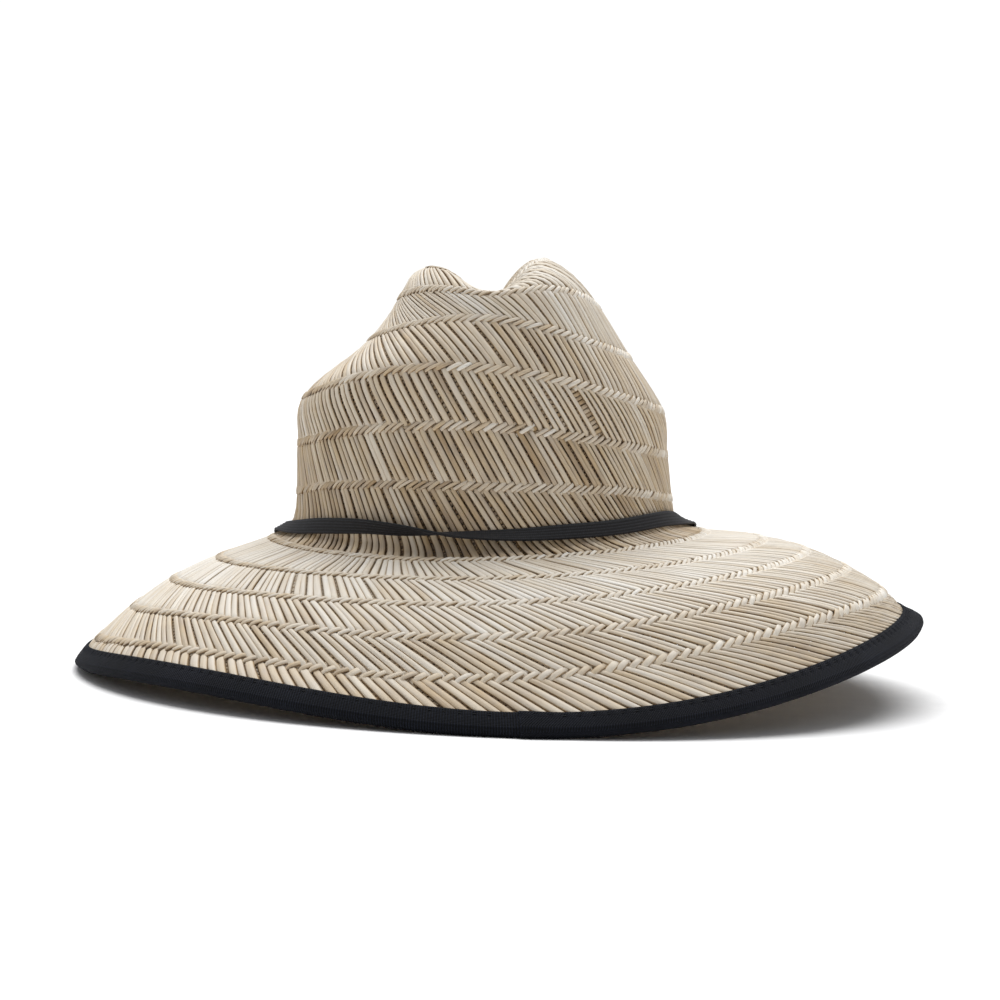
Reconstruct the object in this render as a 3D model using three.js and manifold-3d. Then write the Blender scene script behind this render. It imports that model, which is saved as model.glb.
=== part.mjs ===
// A woven rush sun hat with a creased crown, a drooping brim, a bound edge and an elastic chin strap.
// Millimetres, +Z up. The wearer's back is towards -Y, and the hat rests on its brim at z = 0.
import * as THREE from 'three';
import { mergeVertices } from 'three/addons/utils/BufferGeometryUtils.js';
import Module from 'manifold-3d';

// Crown, measured on the outside of the straw from the head line at the crown's foot.
const HEAD_HALF_WIDTH = 86;
const HEAD_HALF_LENGTH = 103;
const CROWN_RISE = 110;
const CREASE_DEPTH = 24;
const CREASE_HALF_WIDTH = 13.5;
const CREASE_OFFSET = -8;
const CREASE_YAW = THREE.MathUtils.degToRad(4);
const CREASE_FRONT_GAIN = 0.3;

// Brim, measured from the head line to the outside of the bound edge.
const BRIM_SIDE_REACH = 106;
const BRIM_END_REACH = 107.5;
const BRIM_SIDE_DROP = 62.5;
const BRIM_END_DROP = 80;
const BRIM_LEAN_RISE = 17.3;
const BRIM_SWEEP = 18.3;
const BRIM_WAVE = 3.8;
const BRIM_SHIFT = 6;

const STRAW_WALL = 2.4;
const CLEARANCE = 0.3;

const TAPE_THICKNESS = 0.9;
const TAPE_TOP_WIDTH = 11.5;
const TAPE_UNDER_WIDTH = 10;

const STRAP_WIDTH = 7;
const STRAP_THICKNESS = 1.3;
const STRAP_SLACK = 1;
const STRAP_LIFT = 3.4;
const STRAP_DIP = 1.2;
const SLOT_SIDE_ROOM = 0.5;
const SLOT_END_ROOM = 0.9;

const AROUND = 64;
const MERGE_DISTANCE = 1e-4;

// One row for each woven ring of the crown, from the tip to the foot. width and length are shares of
// the head's half width and half length, side and end are heights as shares of the crown's rise,
// lean, skew, wave and shift are shares of the head's half width, and crease is the share of its depth.
const CROWN_COLUMNS = ['width', 'length', 'side', 'end', 'lean', 'skew', 'wave', 'shift', 'crease'];
const CROWN_RINGS = [
  [0.000, 0.000, 1.000, 1.000, 0.000, 0.000, 0.000, -0.075, 1.00],
  [0.165, 0.290, 1.000, 0.995, 0.017, 0.000, 0.000, -0.075, 0.98],
  [0.315, 0.535, 0.985, 0.970, 0.034, 0.000, 0.000, -0.075, 0.86],
  [0.435, 0.685, 0.930, 0.925, 0.010, 0.020, 0.010, -0.035, 0.50],
  [0.537, 0.792, 0.821, 0.858, -0.010, 0.037, 0.020, 0.000, 0.12],
  [0.697, 0.854, 0.633, 0.734, -0.020, -0.034, -0.005, 0.012, 0.00],
  [0.958, 0.965, 0.400, 0.544, 0.000, -0.038, 0.000, -0.063, 0.00],
  [0.986, 0.975, 0.214, 0.319, 0.008, -0.022, 0.000, -0.059, 0.00],
  [1.000, 1.000, 0.025, 0.089, 0.020, -0.008, 0.020, -0.040, 0.00],
  [1.028, 1.022, -0.086, -0.105, 0.040, 0.000, 0.005, -0.030, 0.00],
];

// One row for each woven ring of the brim, from the head line to the edge. width and length are shares
// of the brim's reach beyond the head, side and end are shares of its drops, and lean, skew, wave
// and shift are shares of its lean's rise, sweep, wave and shift.
const BRIM_COLUMNS = ['width', 'length', 'side', 'end', 'lean', 'skew', 'wave', 'shift'];
const BRIM_RINGS = [
  [0.127, 0.107, 0.240, 0.246, 0.29, -0.07, 0.00, -0.15],
  [0.360, 0.335, 0.331, 0.322, 0.51, 0.09, 0.08, 0.08],
  [0.550, 0.520, 0.446, 0.429, 0.70, 0.15, 0.26, 0.02],
  [0.720, 0.681, 0.606, 0.576, 0.87, 0.26, 0.90, 0.12],
  [0.872, 0.811, 0.798, 0.760, 1.02, 0.37, 1.40, 0.27],
  [0.933, 0.920, 0.902, 0.887, 0.86, 0.81, 1.05, 0.82],
  [1.000, 1.000, 1.000, 1.000, 1.00, 1.00, 1.00, 1.00],
];

const HEAD_RING = CROWN_RINGS.length;
const EDGE_RING = HEAD_RING + BRIM_RINGS.length - 1;
const CROWN_STEPS = [0, 0.5, 1, 1.5, 2, 2.33, 2.67, 3, 3.5, 4, 4.5, 5, 5.5, 5.8, 6, 6.3, 7, 8, 8.6, 9, 9.4, 9.7];
const CROWN_LINING_STEPS = [0, 0.5, 1, 1.5, 2, 2.5, 3, 3.5, 4, 5, 5.6, 6, 6.3, 7, 8, 8.6, 9, 9.5];
const BRIM_STEPS = [10.2, 10.5, 11, 11.5, 12, 12.5, 13, 13.5, 14, 14.4];
const LEG_SHARES = [1, 0.5, 0];

// The strap's route: angle round the head in degrees, ring position, distance out of the straw's
// face, twist in degrees, and how many steps the stretch to the next row takes. It passes in through
// the slot on the left, round the far side of the head inside the crown, out through the slot on the
// right and back round the near side. STRAP_LIFT is how far it stands off the braid at the crown's
// foot, STRAP_DIP how far it hangs clear of the straw inside each slot.
const SLOT_RING = HEAD_RING;
const LEFT_SLOT_ANGLE = 172;
const RIGHT_SLOT_ANGLE = 14;
const LYING = CLEARANCE + STRAP_SLACK + STRAP_THICKNESS / 2;
const UNDER = -STRAW_WALL - LYING;
const ROUTE_COLUMNS = ['angle', 'ring', 'out', 'twist', 'steps'];
const STRAP_ROUTE = [
  [LEFT_SLOT_ANGLE, SLOT_RING, 0.35 * STRAP_LIFT, 0, 2],
  [LEFT_SLOT_ANGLE, SLOT_RING, -STRAW_WALL - 0.5 * STRAP_DIP, 0, 3],
  [169.5, 9.95, UNDER - STRAP_DIP, 0, 3],
  [164, 9.70, UNDER - 0.5 * STRAP_DIP, 0, 3],
  [150, 9.20, UNDER, 0, 9],
  [93, 9.00, UNDER, 0, 9],
  [36, 9.20, UNDER, 0, 3],
  [22, 9.70, UNDER - 0.5 * STRAP_DIP, 0, 3],
  [16.5, 9.95, UNDER - STRAP_DIP, 0, 3],
  [RIGHT_SLOT_ANGLE, SLOT_RING, -STRAW_WALL - 0.5 * STRAP_DIP, 0, 2],
  [RIGHT_SLOT_ANGLE, SLOT_RING, 0.35 * STRAP_LIFT, 0, 3],
  [11, 9.95, STRAP_LIFT, 0, 3],
  [4, 9.60, STRAP_LIFT, 0, 3],
  [-6, 9.16, 0.8 * STRAP_LIFT, 0, 3],
  [-16, 8.84, 0.65 * STRAP_LIFT, 0, 3],
  [-28, 8.76, LYING, 0, 5],
  [-50, 8.90, LYING, 0, 7],
  [-76, 8.97, LYING, 0, 4],
  [-92, 8.98, LYING + 0.1 * STRAP_WIDTH, 20, 3],
  [-102, 8.92, 0.6 * STRAP_WIDTH, 90, 3],
  [-112, 8.87, LYING + 0.1 * STRAP_WIDTH, 160, 3],
  [-126, 8.88, LYING, 180, 4],
  [-140, 9.00, LYING, 180, 3],
  [-152, 9.16, 0.7 * STRAP_LIFT, 180, 3],
  [-163, 9.40, 0.85 * STRAP_LIFT, 180, 3],
  [-174, 9.68, STRAP_LIFT, 180, 3],
  [-184, 9.93, STRAP_LIFT, 180, 3],
];

function named(columns, rows) {
  return rows.map((row) => Object.fromEntries(columns.map((column, i) => [column, row[i]])));
}

function crownRing(row) {
  return {
    halfWidth: HEAD_HALF_WIDTH * row.width,
    halfLength: HEAD_HALF_LENGTH * row.length,
    side: CROWN_RISE * row.side,
    end: CROWN_RISE * row.end,
    lean: HEAD_HALF_WIDTH * row.lean,
    skew: HEAD_HALF_WIDTH * row.skew,
    wave: HEAD_HALF_WIDTH * row.wave,
    shift: HEAD_HALF_WIDTH * row.shift,
    crease: CREASE_DEPTH * row.crease,
  };
}

function brimRing(row) {
  return {
    halfWidth: HEAD_HALF_WIDTH + BRIM_SIDE_REACH * row.width,
    halfLength: HEAD_HALF_LENGTH + BRIM_END_REACH * row.length,
    side: -BRIM_SIDE_DROP * row.side,
    end: -BRIM_END_DROP * row.end,
    lean: BRIM_LEAN_RISE * row.lean,
    skew: -BRIM_SWEEP * row.skew,
    wave: BRIM_WAVE * row.wave,
    shift: BRIM_SHIFT * row.shift,
    crease: 0,
  };
}

const RINGS = [
  ...named(CROWN_COLUMNS, CROWN_RINGS).map(crownRing),
  ...named(BRIM_COLUMNS, BRIM_RINGS).map(brimRing),
];

// A smooth curve through equally spaced values, carried straight on past both ends.
function spline(values, at) {
  const last = values.length - 1;
  const k = Math.min(Math.max(Math.floor(at), 0), last - 1);
  const t = at - k;
  const before = k > 0 ? values[k - 1] : 2 * values[0] - values[1];
  const after = k + 2 <= last ? values[k + 2] : 2 * values[last] - values[last - 1];
  const from = values[k];
  const to = values[k + 1];
  const startSlope = (to - before) / 2;
  const endSlope = (after - from) / 2;
  const bend = 2 * (from - to) + startSlope + endSlope;
  const lift = 3 * (to - from) - 2 * startSlope - endSlope;
  return ((bend * t + lift) * t + startSlope) * t + from;
}

function ringAt(ring) {
  return Object.fromEntries(Object.keys(RINGS[0]).map((key) => [key, spline(RINGS.map((r) => r[key]), ring)]));
}

// The outside of the straw at a ring position and an angle round the head, where 0 is +X.
function face(ring, angle) {
  const r = ringAt(ring);
  const c = Math.cos(angle);
  const s = Math.sin(angle);
  const x = r.halfWidth * c + r.shift;
  const y = r.halfLength * s;
  const level = r.side + (r.end - r.side) * s * s + (r.lean + r.skew * s * s) * c;
  const across = (x - CREASE_OFFSET) * Math.cos(CREASE_YAW) + y * Math.sin(CREASE_YAW);
  const deeper = 1 + (CREASE_FRONT_GAIN * y) / HEAD_HALF_LENGTH;
  const hollow = r.crease * deeper * Math.exp(-((across / CREASE_HALF_WIDTH) ** 2));
  return new THREE.Vector3(x, y, level + r.wave * Math.sin(2 * angle) ** 2 - hollow);
}

// The straw's frame there: its face, the direction down the hat, the direction round it and outwards.
function frameAt(ring, angle) {
  const point = face(ring, angle);
  if (ring < 1e-6) {
    return { point, down: new THREE.Vector3(1, 0, 0), round: new THREE.Vector3(0, 1, 0), out: new THREE.Vector3(0, 0, 1), pace: 1 };
  }
  const step = 0.01;
  const down = face(ring + step, angle).sub(face(ring - step, angle));
  const round = face(ring, angle + step).sub(face(ring, angle - step)).normalize();
  const pace = down.length() / (2 * step);
  down.normalize();
  const out = new THREE.Vector3().crossVectors(down, round).normalize();
  return { point, down, round, out, pace };
}

function offFace(ring, angle, out) {
  const f = frameAt(ring, angle);
  return f.point.clone().addScaledVector(f.out, out);
}

// A closed surface over a grid of points: rows follow a section, columns go round and always close.
// A row whose points all fall together becomes a pole.
function closedSurface(grid, closeRows, shift = 0) {
  const positions = grid.flat().flatMap((p) => [p.x, p.y, p.z]);
  const rowCount = grid.length;
  const columnCount = grid[0].length;
  const index = [];
  const last = closeRows ? rowCount : rowCount - 1;
  for (let i = 0; i < last; i += 1) {
    for (let j = 0; j < columnCount; j += 1) {
      const turned = i + 1 === rowCount ? shift : 0;
      const a = i * columnCount + j;
      const b = i * columnCount + ((j + 1) % columnCount);
      const c = ((i + 1) % rowCount) * columnCount + ((j + 1 + turned) % columnCount);
      const d = ((i + 1) % rowCount) * columnCount + ((j + turned) % columnCount);
      index.push(a, d, b, b, d, c);
    }
  }
  const geometry = new THREE.BufferGeometry();
  geometry.setAttribute('position', new THREE.Float32BufferAttribute(positions, 3));
  geometry.setIndex(index);
  return withoutSlivers(mergeVertices(geometry, MERGE_DISTANCE));
}

function withoutSlivers(geometry) {
  const index = geometry.getIndex().array;
  const kept = [];
  for (let i = 0; i < index.length; i += 3) {
    const [a, b, c] = [index[i], index[i + 1], index[i + 2]];
    if (a !== b && b !== c && c !== a) kept.push(a, b, c);
  }
  geometry.setIndex(kept);
  return geometry;
}

const ANGLES = Array.from({ length: AROUND }, (_, j) => (2 * Math.PI * j) / AROUND);

function ringOfPoints(ring, out) {
  return ANGLES.map((angle) => offFace(ring, angle, out));
}

// How far along the rings a distance on the straw is, at one angle.
function ringsIn(distance, ring, angle) {
  return distance / frameAt(ring, angle).pace;
}

function crownGeometry() {
  const foot = ANGLES.map((angle) => HEAD_RING - ringsIn(CLEARANCE / 2, HEAD_RING, angle));
  const footRow = (out) => ANGLES.map((angle, j) => offFace(foot[j], angle, out));
  const outside = CROWN_STEPS.map((ring) => ringOfPoints(ring, 0));
  const inside = [...CROWN_LINING_STEPS].reverse().map((ring) => ringOfPoints(ring, -STRAW_WALL));
  return closedSurface([...outside, footRow(0), footRow(-STRAW_WALL), ...inside], false);
}

// The brim's straw stops short of the outside edge by the tape's fold.
function edgeRing(angle) {
  return EDGE_RING - ringsIn(CLEARANCE + TAPE_THICKNESS, EDGE_RING, angle);
}

function rowFromEdge(back, out) {
  return ANGLES.map((angle) => {
    const edge = edgeRing(angle);
    return offFace(edge - ringsIn(back, edge, angle), angle, out);
  });
}

function brimGeometry() {
  const head = ANGLES.map((angle) => HEAD_RING + ringsIn(CLEARANCE / 2, HEAD_RING, angle));
  const headRow = (out) => ANGLES.map((angle, j) => offFace(head[j], angle, out));
  const side = (width, out) => [
    headRow(out),
    ...BRIM_STEPS.map((ring) => ringOfPoints(ring, out)),
    ...LEG_SHARES.map((share) => rowFromEdge(width * share, out)),
  ];
  return closedSurface([...side(TAPE_TOP_WIDTH, 0), ...side(TAPE_UNDER_WIDTH, -STRAW_WALL).reverse()], true);
}

// The tape's section round the straw's edge: how far in from the edge, and how far out of the face.
function tapeSection() {
  const near = CLEARANCE;
  const far = CLEARANCE + TAPE_THICKNESS;
  const leg = (width, out) => LEG_SHARES.map((share) => ({ back: width * share, out }));
  const fold = (reach) => [{ back: -reach, out: 0 }, { back: -reach, out: -STRAW_WALL }];
  const outer = [...leg(TAPE_TOP_WIDTH, far), ...fold(far), ...leg(TAPE_UNDER_WIDTH, -STRAW_WALL - far).reverse()];
  const inner = [...leg(TAPE_UNDER_WIDTH, -STRAW_WALL - near), ...fold(near).reverse(),
    ...leg(TAPE_TOP_WIDTH, near).reverse()];
  return [...outer, ...inner];
}

function bindingGeometry() {
  const rows = tapeSection().map(({ back, out }) => ANGLES.map((angle) => {
    const edge = edgeRing(angle);
    const ring = edge - ringsIn(Math.max(back, 0), edge, angle);
    const f = frameAt(ring, angle);
    const past = Math.max(-back, 0);
    return f.point.clone().addScaledVector(f.out, out).addScaledVector(f.down, past);
  }));
  return closedSurface(rows, true);
}

// The strap's centre line and its width direction, sampled along the route.
function strapStations() {
  const route = named(ROUTE_COLUMNS, STRAP_ROUTE);
  const turn = 360;
  const count = route.length;
  const valueAt = (key, i) => {
    const wrapped = route[(i + count) % count][key];
    const laps = Math.floor(i / count);
    const around = key === 'angle' ? -turn * laps : 0;
    const twisted = key === 'twist' ? route[count - 1].twist * laps : 0;
    return wrapped + around + twisted;
  };
  const stations = [];
  for (let i = 0; i < count; i += 1) {
    for (let k = 0; k < route[i].steps; k += 1) {
      const at = 1 + k / route[i].steps;
      const mix = (key) => spline([-1, 0, 1, 2].map((n) => valueAt(key, i + n)), at);
      stations.push({ angle: THREE.MathUtils.degToRad(mix('angle')), ring: mix('ring'), out: mix('out'), twist: mix('twist') });
    }
  }
  return stations;
}

function strapGeometry() {
  const corners = [[0.5, -0.5], [-0.5, -0.5], [-0.5, 0.5], [0.5, 0.5]];
  const stations = strapStations();
  const centres = stations.map((s) => offFace(s.ring, s.angle, s.out));
  const rows = stations.map((station, i) => {
    const ahead = centres[(i + 1) % centres.length];
    const behind = centres[(i + centres.length - 1) % centres.length];
    const along = ahead.clone().sub(behind).normalize();
    const { down } = frameAt(station.ring, station.angle);
    const across = down.clone().addScaledVector(along, -down.dot(along)).normalize();
    across.applyAxisAngle(along, THREE.MathUtils.degToRad(station.twist));
    const through = new THREE.Vector3().crossVectors(along, across);
    return corners.map(([w, t]) => centres[i].clone()
      .addScaledVector(across, w * STRAP_WIDTH).addScaledVector(through, t * STRAP_THICKNESS));
  });
  // Half a twist in the loop brings the last row's corners round to the first row's opposite ones.
  return closedSurface(rows, true, corners.length / 2);
}

const wasm = await Module();
wasm.setup();

function toSolid(geometry) {
  const plain = geometry.clone();
  plain.deleteAttribute('normal');
  plain.deleteAttribute('uv');
  const merged = mergeVertices(plain, MERGE_DISTANCE);
  return new wasm.Manifold(new wasm.Mesh({
    numProp: 3,
    vertProperties: new Float32Array(merged.getAttribute('position').array),
    triVerts: new Uint32Array(merged.getIndex().array),
  }));
}

function toGeometry(solid) {
  const mesh = solid.getMesh();
  const geometry = new THREE.BufferGeometry();
  geometry.setAttribute('position', new THREE.BufferAttribute(new Float32Array(mesh.vertProperties), 3));
  geometry.setIndex(new THREE.BufferAttribute(new Uint32Array(mesh.triVerts), 1));
  return geometry;
}

// A slot runs along the stems through the straw, where the brim meets the crown.
function slotCutter(degrees) {
  const f = frameAt(SLOT_RING, THREE.MathUtils.degToRad(degrees));
  const along = STRAP_WIDTH + 2 * SLOT_END_ROOM;
  const across = STRAP_THICKNESS + 2 * SLOT_SIDE_ROOM;
  const through = 4 * STRAW_WALL;
  const cutter = new THREE.BoxGeometry(along, across, through);
  const side = new THREE.Vector3().crossVectors(f.out, f.down);
  const place = new THREE.Matrix4().makeBasis(f.down, side, f.out);
  place.setPosition(f.point.clone().addScaledVector(f.out, -STRAW_WALL / 2));
  return toSolid(cutter.applyMatrix4(place));
}

function withSlots(geometry) {
  let solid = toSolid(geometry);
  for (const degrees of [LEFT_SLOT_ANGLE, RIGHT_SLOT_ANGLE]) solid = solid.subtract(slotCutter(degrees));
  return toGeometry(solid);
}

const rush = new THREE.MeshStandardMaterial({ color: 0xcbbd9f, roughness: 0.72, metalness: 0 });
const tape = new THREE.MeshStandardMaterial({ color: 0x22242b, roughness: 0.85, metalness: 0 });
const elastic = new THREE.MeshStandardMaterial({ color: 0x26252a, roughness: 0.8, metalness: 0 });

function piece(name, geometry, material) {
  const mesh = new THREE.Mesh(geometry, material);
  mesh.name = name;
  return mesh;
}

const hat = new THREE.Group();
hat.add(piece('crown', withSlots(crownGeometry()), rush));
hat.add(piece('brim', withSlots(brimGeometry()), rush));
hat.add(piece('brim_binding', bindingGeometry(), tape));
hat.add(piece('chin_strap', strapGeometry(), elastic));

// The origin is the middle of the hat's box, on the surface that the hat rests on.
const box = new THREE.Box3().setFromObject(hat);
const middle = box.getCenter(new THREE.Vector3());
hat.position.set(-middle.x, -middle.y, -box.min.z);

export default hat;
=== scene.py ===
import math

import bpy
import numpy as np
from mathutils import Matrix, Vector


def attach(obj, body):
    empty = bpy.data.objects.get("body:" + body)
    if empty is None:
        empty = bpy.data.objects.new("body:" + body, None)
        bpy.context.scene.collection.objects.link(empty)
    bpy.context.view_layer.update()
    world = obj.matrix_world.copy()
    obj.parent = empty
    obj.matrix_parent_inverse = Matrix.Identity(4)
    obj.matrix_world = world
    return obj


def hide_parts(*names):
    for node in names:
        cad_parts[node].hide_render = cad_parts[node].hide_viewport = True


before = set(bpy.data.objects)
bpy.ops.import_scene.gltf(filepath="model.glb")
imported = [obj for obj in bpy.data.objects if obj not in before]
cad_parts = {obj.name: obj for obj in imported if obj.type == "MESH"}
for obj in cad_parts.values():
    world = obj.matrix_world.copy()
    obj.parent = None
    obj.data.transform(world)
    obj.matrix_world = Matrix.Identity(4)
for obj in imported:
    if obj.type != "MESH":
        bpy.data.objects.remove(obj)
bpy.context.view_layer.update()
bpy.ops.object.select_all(action="DESELECT")

MM = 0.001

# The hat's form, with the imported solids' sizes, but for the tape's upper width.
HEAD_HALF_WIDTH = 86 * MM
HEAD_HALF_LENGTH = 103 * MM
CROWN_RISE = 110 * MM
CREASE_DEPTH = 24 * MM
CREASE_HALF_WIDTH = 13.5 * MM
CREASE_OFFSET = -8 * MM
CREASE_YAW = math.radians(4)
CREASE_FRONT_GAIN = 0.3

BRIM_SIDE_REACH = 106 * MM
BRIM_END_REACH = 107.5 * MM
BRIM_SIDE_DROP = 62.5 * MM
BRIM_END_DROP = 80 * MM
BRIM_LEAN_RISE = 17.3 * MM
BRIM_SWEEP = 18.3 * MM
BRIM_WAVE = 3.8 * MM
BRIM_SHIFT = 6 * MM

STRAW_WALL = 2.4 * MM
CLEARANCE = 0.3 * MM
TAPE_THICKNESS = 0.9 * MM
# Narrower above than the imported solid's 11.5 mm, because the photograph shows it so.
TAPE_TOP_WIDTH = 9 * MM
TAPE_UNDER_WIDTH = 10 * MM

STRAP_WIDTH = 7 * MM
STRAP_THICKNESS = 1.3 * MM
STRAP_SLACK = 1 * MM
STRAP_LIFT = 3.4 * MM
STRAP_DIP = 1.2 * MM

# width, length, side, end, lean, skew, wave, shift, crease: shares, one row a ring from tip to foot
CROWN_RINGS = [
    [0.000, 0.000, 1.000, 1.000, 0.000, 0.000, 0.000, -0.075, 1.00],
    [0.165, 0.290, 1.000, 0.995, 0.017, 0.000, 0.000, -0.075, 0.98],
    [0.315, 0.535, 0.985, 0.970, 0.034, 0.000, 0.000, -0.075, 0.86],
    [0.435, 0.685, 0.930, 0.925, 0.010, 0.020, 0.010, -0.035, 0.50],
    [0.537, 0.792, 0.821, 0.858, -0.010, 0.037, 0.020, 0.000, 0.12],
    [0.697, 0.854, 0.633, 0.734, -0.020, -0.034, -0.005, 0.012, 0.00],
    [0.958, 0.965, 0.400, 0.544, 0.000, -0.038, 0.000, -0.063, 0.00],
    [0.986, 0.975, 0.214, 0.319, 0.008, -0.022, 0.000, -0.059, 0.00],
    [1.000, 1.000, 0.025, 0.089, 0.020, -0.008, 0.020, -0.040, 0.00],
    [1.028, 1.022, -0.086, -0.105, 0.040, 0.000, 0.005, -0.030, 0.00],
]
# width, length, side, end, lean, skew, wave, shift: shares, one row a ring from head line to edge
BRIM_RINGS = [
    [0.127, 0.107, 0.240, 0.246, 0.29, -0.07, 0.00, -0.15],
    [0.360, 0.335, 0.331, 0.322, 0.51, 0.09, 0.08, 0.08],
    [0.550, 0.520, 0.446, 0.429, 0.70, 0.15, 0.26, 0.02],
    [0.720, 0.681, 0.606, 0.576, 0.87, 0.26, 0.90, 0.12],
    [0.872, 0.811, 0.798, 0.760, 1.02, 0.37, 1.40, 0.27],
    [0.933, 0.920, 0.902, 0.887, 0.86, 0.81, 1.05, 0.82],
    [1.000, 1.000, 1.000, 1.000, 1.00, 1.00, 1.00, 1.00],
]
HEAD_RING = len(CROWN_RINGS)
EDGE_RING = HEAD_RING + len(BRIM_RINGS) - 1
CAD_AROUND = 64


def ring_sizes():
    """Every ring's half width, half length, side and end height, lean, skew, wave, shift and crease."""
    sizes = []
    for width, length, side, end, lean, skew, wave, shift, crease in CROWN_RINGS:
        sizes.append([HEAD_HALF_WIDTH * width, HEAD_HALF_LENGTH * length,
                      CROWN_RISE * side, CROWN_RISE * end,
                      HEAD_HALF_WIDTH * lean, HEAD_HALF_WIDTH * skew, HEAD_HALF_WIDTH * wave,
                      HEAD_HALF_WIDTH * shift, CREASE_DEPTH * crease])
    for width, length, side, end, lean, skew, wave, shift in BRIM_RINGS:
        sizes.append([HEAD_HALF_WIDTH + BRIM_SIDE_REACH * width,
                      HEAD_HALF_LENGTH + BRIM_END_REACH * length,
                      -BRIM_SIDE_DROP * side, -BRIM_END_DROP * end,
                      BRIM_LEAN_RISE * lean, -BRIM_SWEEP * skew,
                      BRIM_WAVE * wave, BRIM_SHIFT * shift, 0.0])
    sizes = np.array(sizes)
    return np.vstack([2 * sizes[0] - sizes[1], sizes, 2 * sizes[-1] - sizes[-2]])


RING_SIZES = ring_sizes()


def spline(table, at):
    """A smooth curve through the table's rows, whose first and last only steer the ends."""
    at = np.asarray(at, float)
    k = np.clip(np.floor(at).astype(int), 0, len(table) - 4)
    t = (at - k)[..., None]
    before, start, stop, after = table[k], table[k + 1], table[k + 2], table[k + 3]
    leave, arrive = (stop - before) / 2, (after - start) / 2
    bend = 2 * (start - stop) + leave + arrive
    lift = 3 * (stop - start) - 2 * leave - arrive
    return ((bend * t + lift) * t + leave) * t + start


def face(ring, angle):
    """The outside of the straw at a ring position and an angle round the head, in the hat's own frame."""
    ring, angle = np.broadcast_arrays(np.asarray(ring, float), np.asarray(angle, float))
    size = np.moveaxis(spline(RING_SIZES, ring), -1, 0)
    half_width, half_length, side, end, lean, skew, wave, shift, crease = size
    c, s = np.cos(angle), np.sin(angle)
    x = half_width * c + shift
    y = half_length * s
    level = side + (end - side) * s * s + (lean + skew * s * s) * c + wave * np.sin(2 * angle) ** 2
    across = (x - CREASE_OFFSET) * math.cos(CREASE_YAW) + y * math.sin(CREASE_YAW)
    deeper = 1 + CREASE_FRONT_GAIN * y / HEAD_HALF_LENGTH
    return np.stack([x, y, level - crease * deeper * np.exp(-((across / CREASE_HALF_WIDTH) ** 2))], -1)


def unit(v):
    return v / np.maximum(np.linalg.norm(v, axis=-1, keepdims=True), 1e-12)


def frame_at(ring, angle):
    """The face's point, its directions down the hat, round it and outwards, and metres a ring."""
    step = 0.01
    ring = np.asarray(ring, float)
    down = face(ring + step, angle) - face(ring - step, angle)
    pace = np.linalg.norm(down, axis=-1) / (2 * step)
    down = unit(down)
    turn = unit(face(ring, angle + step) - face(ring, angle - step))
    return face(ring, angle), down, turn, unit(np.cross(down, turn)), pace


def rings_in(distance, ring, angle):
    return distance / frame_at(ring, angle)[4]


def edge_ring(angle):
    """Where the straw ends inside the tape's fold."""
    edge = np.full(np.shape(angle), float(EDGE_RING))
    return EDGE_RING - rings_in(CLEARANCE + TAPE_THICKNESS, edge, angle)


def tape_place(back, out, angle):
    """A point of the tape: back metres in from the straw's edge and out metres off its face."""
    edge = edge_ring(angle)
    ring = edge - rings_in(np.maximum(back, 0), edge, angle)
    point, down, _, outwards, _ = frame_at(ring, angle)
    return point + outwards * np.asarray(out)[..., None] + down * np.maximum(-back, 0)[..., None]


def hat_offset():
    """From the hat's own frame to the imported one, whose origin is under the middle of its box."""
    angle = np.arange(CAD_AROUND) * 2 * math.pi / CAD_AROUND
    fold = CLEARANCE + TAPE_THICKNESS
    legs = [(-fold, 0), (-fold, -STRAW_WALL), (0, fold), (0, -STRAW_WALL - fold),
            (TAPE_UNDER_WIDTH / 2, -STRAW_WALL - fold), (TAPE_UNDER_WIDTH, -STRAW_WALL - fold)]
    points = np.concatenate([tape_place(np.full(CAD_AROUND, back), np.full(CAD_AROUND, out), angle)
                             for back, out in legs])
    low, high = points.min(0), points.max(0)
    return np.array([-(low[0] + high[0]) / 2, -(low[1] + high[1]) / 2, -low[2]])


OFFSET = hat_offset()


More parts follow.
